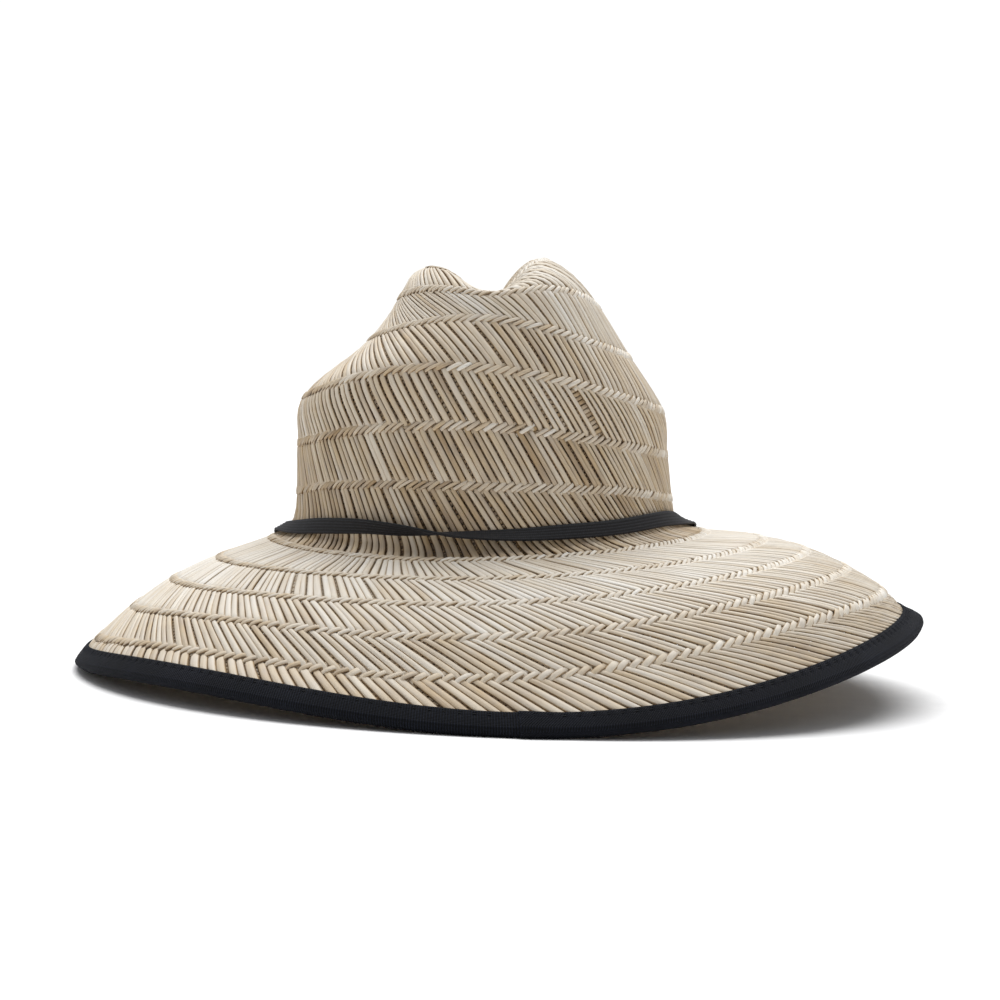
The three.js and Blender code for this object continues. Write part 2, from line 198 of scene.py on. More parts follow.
# Meshes made from arrays of points.
def grid_mesh(name, points, shade, texture, closed_path=False, shift=0):
    """Tubes as one mesh. points is (tubes, stations, sides, 3) and texture is u by station, v by side."""
    tubes, stations, sides, _ = points.shape
    grid = np.arange(tubes * stations * sides).reshape(tubes, stations, sides)
    last = stations if closed_path else stations - 1
    quads, corners = [], []
    u, v = texture
    for i in range(last):
        j = (i + 1) % stations
        turned = shift if j == 0 else 0
        for k in range(sides):
            k2 = (k + 1) % sides
            a, b = grid[:, i, k], grid[:, j, (k + turned) % sides]
            c, d = grid[:, j, (k2 + turned) % sides], grid[:, i, k2]
            quads.append(np.stack([a, b, c, d], -1))
            u2 = u[:, j] if j else u[:, i] + (u[:, i] - u[:, i - 1])
            v1, v2 = v[k], v[k + 1]
            corners.append(np.stack([np.stack([u[:, i], u2, u2, u[:, i]], -1),
                                     np.broadcast_to([v1, v1, v2, v2], (tubes, 4))], -1))
    coords = points.reshape(-1, 3)
    tone = np.repeat(shade, stations * sides)
    faces = [np.concatenate(quads)]
    texels = [np.concatenate(corners)]
    if not closed_path:
        ends = np.concatenate([points[:, 0].mean(1), points[:, -1].mean(1)])
        first = len(coords)
        coords = np.concatenate([coords, ends])
        tone = np.concatenate([tone, shade, shade])
        fans, fan_texels = [], []
        for k in range(sides):
            k2 = (k + 1) % sides
            start, stop = first + np.arange(tubes), first + tubes + np.arange(tubes)
            fans.append(np.stack([start, grid[:, 0, k], grid[:, 0, k2]], -1))
            fans.append(np.stack([stop, grid[:, -1, k2], grid[:, -1, k]], -1))
            for column in (0, -1):
                fan_texels.append(np.stack([np.stack([u[:, column]] * 3, -1),
                                            np.broadcast_to([v[k], v[k], v[k + 1]], (tubes, 3))], -1))
        faces.append(np.concatenate(fans))
        texels.append(np.concatenate(fan_texels))
    mesh = bpy.data.meshes.new(name)
    mesh.vertices.add(len(coords))
    mesh.vertices.foreach_set("co", (coords + OFFSET).astype(np.float32).ravel())
    index = np.concatenate([f.ravel() for f in faces])
    sizes = np.concatenate([np.full(len(f), f.shape[1]) for f in faces])
    mesh.loops.add(len(index))
    mesh.loops.foreach_set("vertex_index", index.astype(np.int32))
    mesh.polygons.add(len(sizes))
    starts = np.concatenate([[0], np.cumsum(sizes)[:-1]])
    mesh.polygons.foreach_set("loop_start", starts.astype(np.int32))
    mesh.polygons.foreach_set("use_smooth", np.ones(len(sizes), bool))
    layer = mesh.uv_layers.new(name="length")
    texels = np.concatenate([t.reshape(-1, 2) for t in texels])
    layer.data.foreach_set("uv", texels.astype(np.float32).ravel())
    tones = mesh.attributes.new("tone", "FLOAT", "POINT")
    tones.data.foreach_set("value", tone.astype(np.float32))
    mesh.update(calc_edges=True)
    mesh.validate()
    piece = bpy.data.objects.new(name, mesh)
    bpy.context.scene.collection.objects.link(piece)
    return piece


def stem_points(centre, outwards, width, thick, sides):
    """Flattened round sections along each stem's centre line."""
    along = unit(np.gradient(centre, axis=1))
    side = unit(np.cross(along, outwards))
    up = np.cross(side, along)
    turn = np.arange(sides) * 2 * math.pi / sides
    across = side[:, :, None] * (np.cos(turn)[:, None] * (width / 2)[:, :, None, None])
    through = up[:, :, None] * (np.sin(turn)[:, None] * (thick / 2)[:, :, None, None])
    return centre[:, :, None] + across + through


def lengths_along(centre):
    step = np.linalg.norm(np.diff(centre, axis=1), axis=-1)
    return np.concatenate([np.zeros((len(centre), 1)), np.cumsum(step, axis=1)], axis=1)


def smoothstep(low, high, x):
    t = np.clip((x - low) / (high - low), 0, 1)
    return t * t * (3 - 2 * t)


# The weave.
#
# Each row between two rings: where it starts and ends, how many stems it has round the hat, how far
# they slip round it on the left, at the front and back, and on the right, in degrees, how much of
# their pitch they fill, and how pale they are. Their paleness falls down the crown and out towards
# the brim's edge: painted shade for where less light reaches.
ROW_COLUMNS = ("start", "end", "stems", "left", "front", "right", "fill", "tone")
CROWN_ROWS = [
    (1.5, 2, 74, 20, 15, 12, 0.95, 0.74),
    (2, 4, 88, 30, 24, 20, 0.97, 0.72),
    (4, 5, 120, 46, 18, 2, 0.99, 0.68),
    (5, 6, 130, 42, 20, -4, 0.94, 0.62),
    (6, 7, 150, 8, 11, 14, 0.84, 0.58),
    (7, 8, 179, 7, 9, 10, 0.95, 0.54),
    (8, 10, 178, 7, 12, 14, 0.93, 0.47),
]
BRIM_ROWS = [
    (10, 11, 238, 0, 7, 13, 1.00, 0.78),
    (11, 12, 236, 5, 9, 13, 1.01, 0.80),
    (12, 13, 234, 7.5, 8.5, 11, 1.00, 0.76),
    (13, 14, 220, 9, 9.5, 10.5, 0.96, 0.68),
    (14, 15.7, 216, 1, 7.5, 22, 0.99, 0.64),
]
# Each braided ring: its number of strokes, their slope in degrees and how pale they are. As in the rows,
# they grow darker down the crown and towards the brim's edge: painted shade for where less light reaches.
BRAID_COLUMNS = ("ring", "strokes", "slope", "tone")
CROWN_BRAIDS = [(2, 80, 32, 0.70), (4, 106, 31, 0.70), (5, 120, 31, 0.66), (6, 136, 31, 0.62),
                (7, 156, 32, 0.58), (8, 172, 33, 0.56)]
BRIM_BRAIDS = [(10, 200, 36, 0.70), (11, 236, 34, 0.72), (12, 234, 34, 0.72), (13, 226, 34, 0.68),
               (14, 216, 34, 0.64)]

# Seen by the camera, the braids are browner on the left and paler on the right, by this much tone.
BRAID_FADE = 0.12
STEM_THICKNESS = 1.55 * MM
WIDEST_STEM = 4.6 * MM
STROKE_REACH = 2.5 * MM
INNER_FILL = 1.04
# Stems are flattened to this share of their width, lie this far under the face, and dip this much
# further under the braid, between these two distances from it.
FLATNESS = 0.8
STEM_DEPTH = 0.72 * MM
TUCK_DEPTH = 0.8 * MM
TUCK_FULL = 0.7 * MM
TUCK_NONE = 2.1 * MM
# How unevenly hand weaving sets stems and strokes, as shares of their pitch, and their shades.
STEM_JITTER = 0.16
STROKE_JITTER = 0.12
INNER_JITTER = 0.1
STEM_SHADES = 0.055
STROKE_SHADES = 0.06
PALER = 0.25
STROKE_THICKNESS = 1.45 * MM
INNER_THICKNESS = 1.15 * MM
INNER_STROKE_THICKNESS = 1.3 * MM
INNER_SLOPE = 33
INNER_STROKE_SLOPE = 40
OUTER_SIDES = 6
INNER_SIDES = 5

ARC_ANGLES = np.linspace(0, 2 * math.pi, 1441)


def arc_shares(ring):
    points = face(np.full_like(ARC_ANGLES, ring), ARC_ANGLES)
    run = np.concatenate([[0], np.cumsum(np.linalg.norm(np.diff(points, axis=0), axis=1))])
    return run / run[-1], run[-1]


def angle_at_share(ring, share):
    """The angle at a share of the way round a ring, measured along it."""
    shares, _ = arc_shares(ring)
    whole = np.floor(share)
    return np.interp(share - whole, shares, ARC_ANGLES) + 2 * math.pi * whole


def metres_round(ring, angle):
    """Metres a radian round a ring."""
    step = 0.01
    return np.linalg.norm(face(ring, angle + step) - face(ring, angle - step), axis=-1) / (2 * step)


def front_length(start, end):
    """The straw's length down its -Y side between two ring positions."""
    points = face(np.linspace(start, end, 9), -math.pi / 2)
    return np.linalg.norm(np.diff(points, axis=0), axis=1).sum()


def tuck_at(row, ring, pace):
    """How far a stem is tucked under the braids at its row's ends, from 0 to 1."""
    below = (row["end"] - ring) * pace if row["end"] % 1 == 0 else 1
    return 1 - smoothstep(TUCK_FULL, TUCK_NONE, np.minimum((ring - row["start"]) * pace, below))


def slip_at(row, angle):
    """How far a stem of the outer layer slips round the hat over its row."""
    middle = (row["left"] + row["right"]) / 4 + row["front"] / 2
    swing = (row["right"] - row["left"]) / 2
    double = (row["left"] + row["right"]) / 4 - row["front"] / 2
    return np.radians(middle + swing * np.cos(angle) + double * np.cos(2 * angle))


def pitch_of(centre, along):
    """The distance between neighbouring stems, square to them."""
    gap = (np.roll(centre, -1, axis=0) - np.roll(centre, 1, axis=0)) / 2
    gap = gap - along * (gap * along).sum(-1, keepdims=True)
    return np.linalg.norm(gap, axis=-1)


def wander(rng, count, stations, size):
    """A slow, seeded sideways drift for each stem."""
    t = np.linspace(0, 1, stations)
    phase, beat = rng.uniform(0, 2 * math.pi, (count, 1)), rng.uniform(0.6, 1.6, (count, 1))
    return size * rng.uniform(0.3, 1, (count, 1)) * np.sin(2 * math.pi * beat * t + phase)


def patchy(rng, count):
    """Stems next to each other come from one bundle and share some of their shade."""
    rough = np.repeat(rng.normal(0, 1, count // 5 + 1), 5)[:count]
    return 0.55 * rough + rng.normal(0, 1, count)


def straight_across(rings, first, last, middle):
    """The angles at which a stiff stem, straight between its two ends, crosses each ring of its row."""
    rings = np.broadcast_to(rings, (len(first), len(rings)))
    start, stop = face(rings[:, 0], first), face(rings[:, -1], last)
    centre = frame_at(np.full(len(first), (rings[0, 0] + rings[0, -1]) / 2), middle)
    square = unit(np.cross(stop - start, centre[3]))
    share = (rings - rings[:, :1]) / (rings[:, -1:] - rings[:, :1])
    angle = first[:, None] + (last - first)[:, None] * share
    step, longest, flattest = 0.005, 0.06, 1e-4
    for _ in range(5):
        off = ((face(rings, angle) - start[:, None]) * square[:, None]).sum(-1)
        change = face(rings, angle + step) - face(rings, angle - step)
        slope = ((change * square[:, None]).sum(-1)) / (2 * step)
        slope = np.where(np.abs(slope) < flattest, flattest, slope)
        angle = angle - np.clip(off / slope, -longest, longest)
    return angle


def outer_stems(row, rng, missing=()):
    """One row of the outer layer's stems, tucked under the braid at both ends."""
    count = row["stems"]
    t = np.array([0, 0.05, 0.12, 0.26, 0.45, 0.64, 0.8, 0.9, 0.96, 1.0])
    middle = (row["start"] + row["end"]) / 2
    share = (np.arange(count) + rng.uniform(-STEM_JITTER, STEM_JITTER, count)) / count
    angle = angle_at_share(middle, share)
    ring = np.broadcast_to(row["start"] + (row["end"] - row["start"]) * t, (count, len(t)))
    slip = slip_at(row, angle)
    turned = straight_across(ring[0], angle - slip / 2, angle + slip / 2, angle)
    point, _, _, outwards, pace = frame_at(ring, turned)
    tuck = tuck_at(row, ring, pace)
    depth = -STEM_DEPTH - TUCK_DEPTH * tuck + rng.normal(0, 0.10 * MM, (count, 1)) * (1 - tuck)
    centre = point + outwards * depth[..., None]
    along = unit(np.gradient(centre, axis=1))
    pitch = pitch_of(centre, along)
    side = unit(np.cross(along, outwards))
    centre = centre + side * (wander(rng, count, len(t), 0.12 * MM) * (1 - tuck))[..., None]
    fill = row["fill"] * (1 + rng.normal(0, 0.05, (count, 1)))
    width = np.minimum(fill * pitch, WIDEST_STEM) * (1 - 0.1 * tuck)
    thick = np.minimum(STEM_THICKNESS, width * FLATNESS) * (1 + rng.normal(0, 0.05, (count, 1)))
    tone = row["tone"] + STEM_SHADES * patchy(rng, count)
    keep = np.ones(count, bool)
    keep[nearest(angle, missing)] = False
    return [a[keep] for a in (centre, outwards, width, thick, tone)]


def nearest(angles, degrees):
    """The place in angles of the one nearest to each of the given degrees."""
    off = (np.asarray(angles)[:, None] - np.radians(degrees)[None] + math.pi) % (2 * math.pi) - math.pi
    return np.argmin(np.abs(off), axis=0)


def braid_strokes(braid, rng, missing=(), pale=()):
    """The short strokes along a ring, where inner stems come out over the outer ones."""
    count, ring = braid["strokes"], float(braid["ring"])
    y = STROKE_REACH * np.array([-1.15, -0.78, -0.42, 0, 0.42, 0.78, 1.15])
    _, around = arc_shares(ring)
    slope = np.radians(braid["slope"] + rng.normal(0, 2.5, (count, 1)))
    share = (np.arange(count) + rng.uniform(-STROKE_JITTER, STROKE_JITTER, count)) / count
    angle0 = angle_at_share(ring, share)
    pace0 = frame_at(np.full(count, ring), angle0)[4]
    here = metres_round(ring, angle0)
    lift = rng.normal(0, 0.12 * MM, (count, 1))
    rings = ring - (y + lift) / pace0[:, None]
    angle = angle0[:, None] + y / np.tan(slope) / here[:, None]
    point, _, _, outwards, _ = frame_at(rings, angle)
    height = -0.3 * MM - 1.2 * MM * smoothstep(0.8 * MM, 2.3 * MM, np.abs(y))
    centre = point + outwards * (height + rng.normal(0, 0.1 * MM, (count, 1)))[..., None]
    pitch = around / count * np.sin(slope)
    width = np.minimum(pitch * 1.02, WIDEST_STEM) * (1 + rng.normal(0, 0.07, (count, 1)))
    width = width * np.ones(len(y))
    thick = np.minimum(STROKE_THICKNESS, width * FLATNESS)
    tone = braid["tone"] + STROKE_SHADES * patchy(rng, count) + BRAID_FADE * np.cos(angle0)
    tone[nearest(angle0, pale)] += PALER
    keep = np.ones(count, bool)
    keep[nearest(angle0, missing)] = False
    return [a[keep] for a in (centre, outwards, width, thick, tone)]


def inner_stems(row, rng):
    """The inner layer's long stems, which slip the other way."""
    count = row["stems"]
    t = np.array([0, 0.07, 0.2, 0.4, 0.6, 0.8, 0.93, 1.0])
    middle = (row["start"] + row["end"]) / 2
    share = (np.arange(count) + rng.uniform(-INNER_JITTER, INNER_JITTER, count)) / count
    rings = row["start"] + (row["end"] - row["start"]) * t
    _, around = arc_shares(middle)
    run = front_length(row["start"], row["end"]) / math.tan(math.radians(INNER_SLOPE)) / around
    turned = np.stack([angle_at_share(r, share - run * (s - 0.5)) for r, s in zip(rings, t)], 1)
    ring = np.broadcast_to(rings, turned.shape)
    point, _, _, outwards, pace = frame_at(ring, turned)
    tuck = tuck_at(row, ring, pace)
    depth = -STRAW_WALL + 0.55 * MM + 0.45 * MM * tuck + rng.normal(0, 0.06 * MM, (count, 1))
    centre = point + outwards * depth[..., None]
    along = unit(np.gradient(centre, axis=1))
    width = pitch_of(centre, along) * INNER_FILL * (1 + rng.normal(0, 0.04, (count, 1)))
    thick = np.minimum(INNER_THICKNESS, width * FLATNESS)
    # The inner layer's tone is 0.06 lower than its row's: painted shade for its place under the outer stems.
    return centre, outwards, width, thick, row["tone"] - 0.06 + STEM_SHADES * patchy(rng, count)


def inner_strokes(braid, rng):
    """The same rings seen from inside, where outer stems come in under the inner ones."""
    count, ring = braid["strokes"], float(braid["ring"])
    y = STROKE_REACH * np.array([-1, -0.6, 0, 0.6, 1])
    _, around = arc_shares(ring)
    slope = math.radians(INNER_STROKE_SLOPE)
    share = (np.arange(count) + 0.5 + rng.uniform(-STROKE_JITTER, STROKE_JITTER, count)) / count
    angle0 = angle_at_share(ring, share)
    pace0 = frame_at(np.full(count, ring), angle0)[4]
    angle = angle0[:, None] - y / math.tan(slope) / metres_round(ring, angle0)[:, None]
    point, _, _, outwards, _ = frame_at(ring - y / pace0[:, None], angle)
    height = -STRAW_WALL - 0.1 * MM + 1.3 * MM * smoothstep(0.8 * MM, 2.4 * MM, np.abs(y))
    centre = point + outwards * np.broadcast_to(height, (count, len(y)))[..., None]
    width = np.full((count, len(y)), min(around / count * math.sin(slope) * 0.95, WIDEST_STEM))
    thick = np.minimum(INNER_STROKE_THICKNESS, width * FLATNESS)
    return centre, outwards, width, thick, braid["tone"] + STROKE_SHADES * patchy(rng, count)


def tube_piece(name, parts, sides, rng):
    """Several rows of stems of one station count as one mesh."""
    centre, outwards, width, thick, tone = (np.concatenate(a) for a in zip(*parts))
    points = stem_points(centre, outwards, width, thick, sides)
    u = lengths_along(centre) + rng.uniform(0, 40, (len(centre), 1))
    return grid_mesh(name, points, np.clip(tone, 0.02, 0.98), (u, np.linspace(0, 1, sides + 1)))


# The tip's zones are a first ring, a last ring and a number of spokes, with more spokes further out.
TIP_ZONES = [(0.02, 0.17, 8), (0.16, 0.5, 22), (0.5, 1.0, 44), (1.0, 1.53, 76)]
TIP_PITCH = 2.5 * MM
TIP_ROUND_WIDTH = 1.75 * MM
TIP_SPOKE_WIDTH = 2.0 * MM
TIP_THICKNESS = 1.1 * MM
TIP_DEPTH = 0.75 * MM
TIP_WAVE = 0.42 * MM


def tip_weave(rng):
    """The finely checked tip inside the first braid: spokes crossed by rounds, over one and under one."""
    rounds, spokes = [], []
    for start, end, count in TIP_ZONES:
        number = max(2, round(front_length(start, end) / TIP_PITCH))
        for i in range(number):
            ring = start + (end - start) * (i + 0.5) / number
            stations = 2 * count
            angle = np.arange(stations) * 2 * math.pi / stations
            point, _, _, outwards, _ = frame_at(np.full(stations, ring), angle)
            k = np.arange(stations)
            wave = np.cos(math.pi * (k / 2.0 + i)) * np.where(k % 2, 0, 1)
            centre = point + outwards * (-TIP_DEPTH + TIP_WAVE * wave)[:, None]
            rounds.append((centre[None], outwards[None], np.full((1, stations), TIP_ROUND_WIDTH),
                           np.full((1, stations), TIP_THICKNESS),
                           np.array([0.62 + 0.06 * rng.normal()])))
        t = (np.arange(2 * number + 1)) / (2 * number)
        ring = np.broadcast_to(start + (end - start) * t, (count, len(t)))
        angle = np.broadcast_to((np.arange(count) * 2 * math.pi / count)[:, None], ring.shape)
        point, _, _, outwards, _ = frame_at(ring, angle)
        k = np.arange(2 * number + 1)
        wave = -np.cos(math.pi * ((k - 1) / 2.0 + np.arange(count)[:, None])) * np.where(k % 2, 1, 0)
        centre = point + outwards * (-TIP_DEPTH + TIP_WAVE * wave)[..., None]
        around = arc_shares((start + end) / 2)[1]
        width = np.full(ring.shape, min(0.62 * around / count, TIP_SPOKE_WIDTH))
        thick = np.full(ring.shape, TIP_THICKNESS)
        spokes.append((centre, outwards, width, thick, 0.64 + 0.07 * rng.normal(size=count)))
    return rounds, spokes


def join(name, pieces):
    bpy.ops.object.select_all(action="DESELECT")
    for piece in pieces:
        piece.select_set(True)
    bpy.context.view_layer.objects.active = pieces[0]
    if len(pieces) > 1:
        bpy.ops.object.join()
    joined = bpy.context.view_layer.objects.active
    joined.name = joined.data.name = name
    bpy.ops.object.select_all(action="DESELECT")
    return joined


def as_rows(columns, rows):
    return [dict(zip(columns, row)) for row in rows]


def weave(region, rows, braids, seed):
    """The stems, braids and lining of one region as three pieces."""
    rng = np.random.default_rng(seed)
    rows, braids = as_rows(ROW_COLUMNS, rows), as_rows(BRAID_COLUMNS, braids)
    stems = tube_piece(region + "_stems", [
        outer_stems(r, rng, MISSING_STEMS.get(r["start"], ())) for r in rows], OUTER_SIDES, rng)
    strokes = tube_piece(region + "_braids", [
        braid_strokes(b, rng, MISSING_STROKES.get(b["ring"], ()), PALE_STROKES.get(b["ring"], ()))
        for b in braids], OUTER_SIDES, rng)
    lining = join(region + "_lining", [
        tube_piece("lining_stems", [inner_stems(r, rng) for r in rows], INNER_SIDES, rng),
        tube_piece("lining_strokes", [inner_strokes(b, rng) for b in braids], INNER_SIDES, rng)])
    return stems, strokes, lining


# Flaws of the hand weaving: lost stems and strokes leave small dark holes, and some strokes are paler.
# Each is given by the row or ring it is in and its angle round the hat in degrees.
MISSING_STEMS = {6: (-58,)}
MISSING_STROKES = {7: (-113, -74)}
PALE_STROKES = {6: (-99, -97), 7: (-88, -78, -70), 10: (-100, -84, -76, -70, -64)}
crown_stems, crown_braids, crown_lining = weave("crown", CROWN_ROWS, CROWN_BRAIDS, 11)
brim_stems, brim_braids, brim_lining = weave("brim", BRIM_ROWS, BRIM_BRAIDS, 23)


def crown_tip_piece():
    rng = np.random.default_rng(5)
    rounds, spokes = tip_weave(rng)
    made = []
    for centre, outwards, width, thick, tone in rounds:
        step = np.linalg.norm(np.roll(centre, -1, axis=1) - centre, axis=-1)
        u = np.concatenate([np.zeros((1, 1)), np.cumsum(step, axis=1)[:, :-1]], axis=1)
        along = unit(np.roll(centre, -1, axis=1) - np.roll(centre, 1, axis=1))
        side = unit(np.cross(along, outwards))
        up = np.cross(side, along)
        turn = np.arange(INNER_SIDES) * 2 * math.pi / INNER_SIDES
        across = side[:, :, None] * (np.cos(turn)[:, None] * (width / 2)[:, :, None, None])
        through = up[:, :, None] * (np.sin(turn)[:, None] * (thick / 2)[:, :, None, None])
        texture = (u, np.linspace(0, 1, INNER_SIDES + 1))
        made.append(grid_mesh("round", centre[:, :, None] + across + through, tone, texture,
                              closed_path=True))
    for part in spokes:
        made.append(tube_piece("spoke", [part], INNER_SIDES, rng))
    return join("crown_tip", made)


crown_tip = crown_tip_piece()


# The bound edge, and where its running stitch and its seam lie.
STITCH_PITCH = 5.9 * MM
STITCH_BACK = TAPE_TOP_WIDTH - 1.9 * MM
TAPE_STATIONS = 1260
SEAM_ANGLE = math.radians(-87.2)
SEAM_LAP = 17 * MM
LAP_START = 2 * MM
LAP_HEIGHT = 0.9 * MM
DENT_DEPTH = 0.5 * MM
DENT_SWELL = 0.25 * MM
DENT_HALF_WIDTH = 1.0 * MM
THREAD_WIDTH = 0.7 * MM
THREAD_SHARE = 0.27
SEAM_STATIONS = 4001


def tape_section():
    """The tape folded over the straw's edge: how far in from the edge and how far off the face."""
    far, near = CLEARANCE + TAPE_THICKNESS, CLEARANCE
    top, under, wall = TAPE_TOP_WIDTH, TAPE_UNDER_WIDTH, STRAW_WALL
    outer = [(top, near + 0.12 * MM), (top - 0.5 * MM, near + 0.4 * MM), (top - 1.2 * MM, 0.75 * far),
             (STITCH_BACK, 0.72 * far), (top - 2.6 * MM, 0.8 * far), (top - 4.1 * MM, far), (3.4 * MM, far),
             (1.5 * MM, far), (-0.5 * far, 0.78 * far), (-0.92 * far, 0.25 * far), (-far, -0.5 * wall),
             (-0.92 * far, -wall - 0.25 * far), (-0.5 * far, -wall - 0.78 * far), (1.5 * MM, -wall - far),
             (5 * MM, -wall - far), (under - 0.4 * MM, -wall - far), (under, -wall - far + 0.15 * MM)]
    inner = [(under, -wall - near), (0, -wall - near), (-near, -wall), (-near, 0), (0, near), (top, near)]
    return np.array(outer + inner)


def binding_piece():
    """The tape round the whole edge, and its number of stitches."""
    section = tape_section()
    angle = SEAM_ANGLE + np.arange(TAPE_STATIONS) * 2 * math.pi / TAPE_STATIONS
    base = tape_place(np.zeros(TAPE_STATIONS), np.zeros(TAPE_STATIONS), angle)
    step = np.linalg.norm(np.roll(base, -1, axis=0) - base, axis=1)
    run = np.concatenate([[0], np.cumsum(step)[:-1]])
    total = step.sum()
    stitches = round(total / STITCH_PITCH)
    beat = np.cos(2 * math.pi * run / total * stitches)
    pull = smoothstep(0.2, 1.0, beat)
    lap = LAP_HEIGHT * (1 - smoothstep(0.0, 1.0, np.clip((run - LAP_START) / SEAM_LAP, 0, 1)))
    rows = []
    for back, out in section:
        off = np.full(TAPE_STATIONS, out)
        dent = math.exp(-((back - STITCH_BACK) / DENT_HALF_WIDTH) ** 2)
        if out > 0:
            off = off - DENT_DEPTH * dent * pull + DENT_SWELL * dent * (1 - pull)
            off = off + lap
        reach = np.full(TAPE_STATIONS, back)
        if back < 0:
            reach = reach - lap
        rows.append(tape_place(reach, off, angle))
    points = np.stack(rows, 1)[None]
    spans = np.linalg.norm(np.diff(np.vstack([section, section[:1]]), axis=0), axis=1)
    v = np.concatenate([[0], np.cumsum(spans)])
    tape = grid_mesh("brim_binding_tape", points[:, :, ::-1], np.array([0.5]), (run[None], v[::-1]),
                     closed_path=True)
    return tape, stitches


def binding_stitches(stitches):
    """The sewing thread, lying in each dent near the tape's inner edge."""
    angle_fine = SEAM_ANGLE + np.linspace(0, 2 * math.pi, SEAM_STATIONS)
    base = tape_place(np.zeros(SEAM_STATIONS), np.zeros(SEAM_STATIONS), angle_fine)
    run = np.concatenate([[0], np.cumsum(np.linalg.norm(np.diff(base, axis=0), axis=1))])
    t = np.array([-1, -0.75, -0.3, 0.3, 0.75, 1])
    at = (np.arange(stitches)[:, None] + THREAD_SHARE * t) * run[-1] / stitches
    angle = np.interp(at % run[-1], run, angle_fine)
    out = 0.72 * (CLEARANCE + TAPE_THICKNESS) - 0.34 * MM - 0.5 * MM * smoothstep(0.5, 1.0, np.abs(t))
    edge = edge_ring(angle)
    ring = edge - rings_in(STITCH_BACK, edge, angle)
    point, _, _, outwards, _ = frame_at(ring, angle)
    centre = point + outwards * np.broadcast_to(out, angle.shape)[..., None]
    width = np.full(angle.shape, THREAD_WIDTH)
    rng = np.random.default_rng(3)
    thread = (centre, outwards, width, width * FLATNESS, np.full(stitches, 0.5))
    return tube_piece("binding_stitches", [thread], INNER_SIDES, rng)


binding, stitch_count = binding_piece()
stitch_thread = binding_stitches(stitch_count)


# The chin strap, whose far half is hidden and takes the plain way round inside the crown.
LYING = CLEARANCE + STRAP_SLACK + STRAP_THICKNESS / 2
UNDER = -STRAW_WALL - LYING
IN_SLOT = -STRAW_WALL - 0.5 * STRAP_DIP
# angle, ring, how far out of the face, twist
STRAP_ROUTE = [
    (172, 9.86, 0.2 * STRAP_LIFT, 0), (172, 9.88, IN_SLOT, 0),
    (169.5, 9.90, UNDER - STRAP_DIP, 0), (164, 9.70, UNDER - 0.5 * STRAP_DIP, 0),
    (150, 9.20, UNDER, 0), (93, 9.00, UNDER, 0), (36, 9.20, UNDER, 0),
    (22, 9.70, UNDER - 0.5 * STRAP_DIP, 0), (16.5, 9.90, UNDER - STRAP_DIP, 0),
    (14, 9.88, IN_SLOT, 0), (14, 9.86, 0.2 * STRAP_LIFT, 0),
    (11, 9.74, 0.45 * STRAP_LIFT, 0), (4, 9.48, 0.6 * STRAP_LIFT, 0),
    (-6, 9.12, 0.6 * STRAP_LIFT, 0), (-16, 8.84, 0.6 * STRAP_LIFT, 0),
    (-28, 8.76, LYING, 0), (-50, 8.90, LYING, 0), (-69, 8.95, LYING + 0.06 * STRAP_WIDTH, 8),
    (-80, 8.98, 0.33 * STRAP_WIDTH, 24), (-90, 9.0, 0.46 * STRAP_WIDTH, 40),
    (-97, 9.0, 0.54 * STRAP_WIDTH, 56),
    (-103, 8.97, 0.57 * STRAP_WIDTH, 82), (-109, 8.93, 0.56 * STRAP_WIDTH, 110),
    (-115, 8.90, 0.48 * STRAP_WIDTH, 128), (-125, 8.88, LYING + 0.18 * STRAP_WIDTH, 147),
    (-140, 8.97, LYING + 0.1 * STRAP_WIDTH, 163), (-152, 9.12, 0.65 * STRAP_LIFT, 172),
    (-163, 9.32, 0.65 * STRAP_LIFT, 178), (-174, 9.52, 0.6 * STRAP_LIFT, 180),
    (-184, 9.72, 0.45 * STRAP_LIFT, 180),
]
STRAP_RIBS = 5


def strap_route():
    """The strap's values at close stations along its closed route."""
    route = np.array(STRAP_ROUTE, float)
    ahead, behind = route.copy(), route.copy()
    ahead[:, 0] -= 360
    ahead[:, 3] += 180
    behind[:, 0] += 360
    behind[:, 3] -= 180
    table = np.vstack([behind[-1:], route, ahead[:2]])
    # The two long stretches round the far side take more stations.
    counts = [24 if 3 < i < 6 else 14 for i in range(len(route))]
    at = [np.linspace(i, i + 1, count, endpoint=False) for i, count in enumerate(counts)]
    return spline(table, np.concatenate(at))


def strap_section():
    """A flat elastic's section: ribs along both faces and rounded edges."""
    half, thin = STRAP_WIDTH / 2, STRAP_THICKNESS / 2
    count = 2 * STRAP_RIBS + 1
    w = np.linspace(-0.94, 0.94, count)
    rib = np.where(np.arange(count) % 2, 1.0, 0.55)
    top = [(half * a, thin * b) for a, b in zip(w[::-1], rib)]
    low = [(half * a, -thin * b) for a, b in zip(w, rib)]
    return np.array(top + [(-half, 0.0)] + low + [(half, 0.0)])


def strap_piece():
    """The elastic's closed loop, which its half twist joins upside down."""
    angle, ring, out, twist = strap_route().T
    angle = np.radians(angle)
    point, down, _, outwards, _ = frame_at(ring, angle)
    centre = point + outwards * out[:, None]
    along = unit(np.roll(centre, -1, axis=0) - np.roll(centre, 1, axis=0))
    across = unit(down - along * (down * along).sum(-1, keepdims=True))
    cos, sin = np.cos(np.radians(twist))[:, None], np.sin(np.radians(twist))[:, None]
    across = across * cos + np.cross(along, across) * sin
    through = np.cross(along, across)
    section = strap_section()
    points = (centre[:, None] + across[:, None] * section[None, :, :1]
              + through[:, None] * section[None, :, 1:])[None]
    step = np.linalg.norm(np.roll(centre, -1, axis=0) - centre, axis=1)
    run = np.concatenate([[0], np.cumsum(step)[:-1]])
    sides = len(section)
    v = np.linspace(0, 1, sides + 1)
    return grid_mesh("chin_strap_elastic", points, np.array([0.5]), (run[None], v),
                     closed_path=True, shift=sides // 2)


strap = strap_piece()


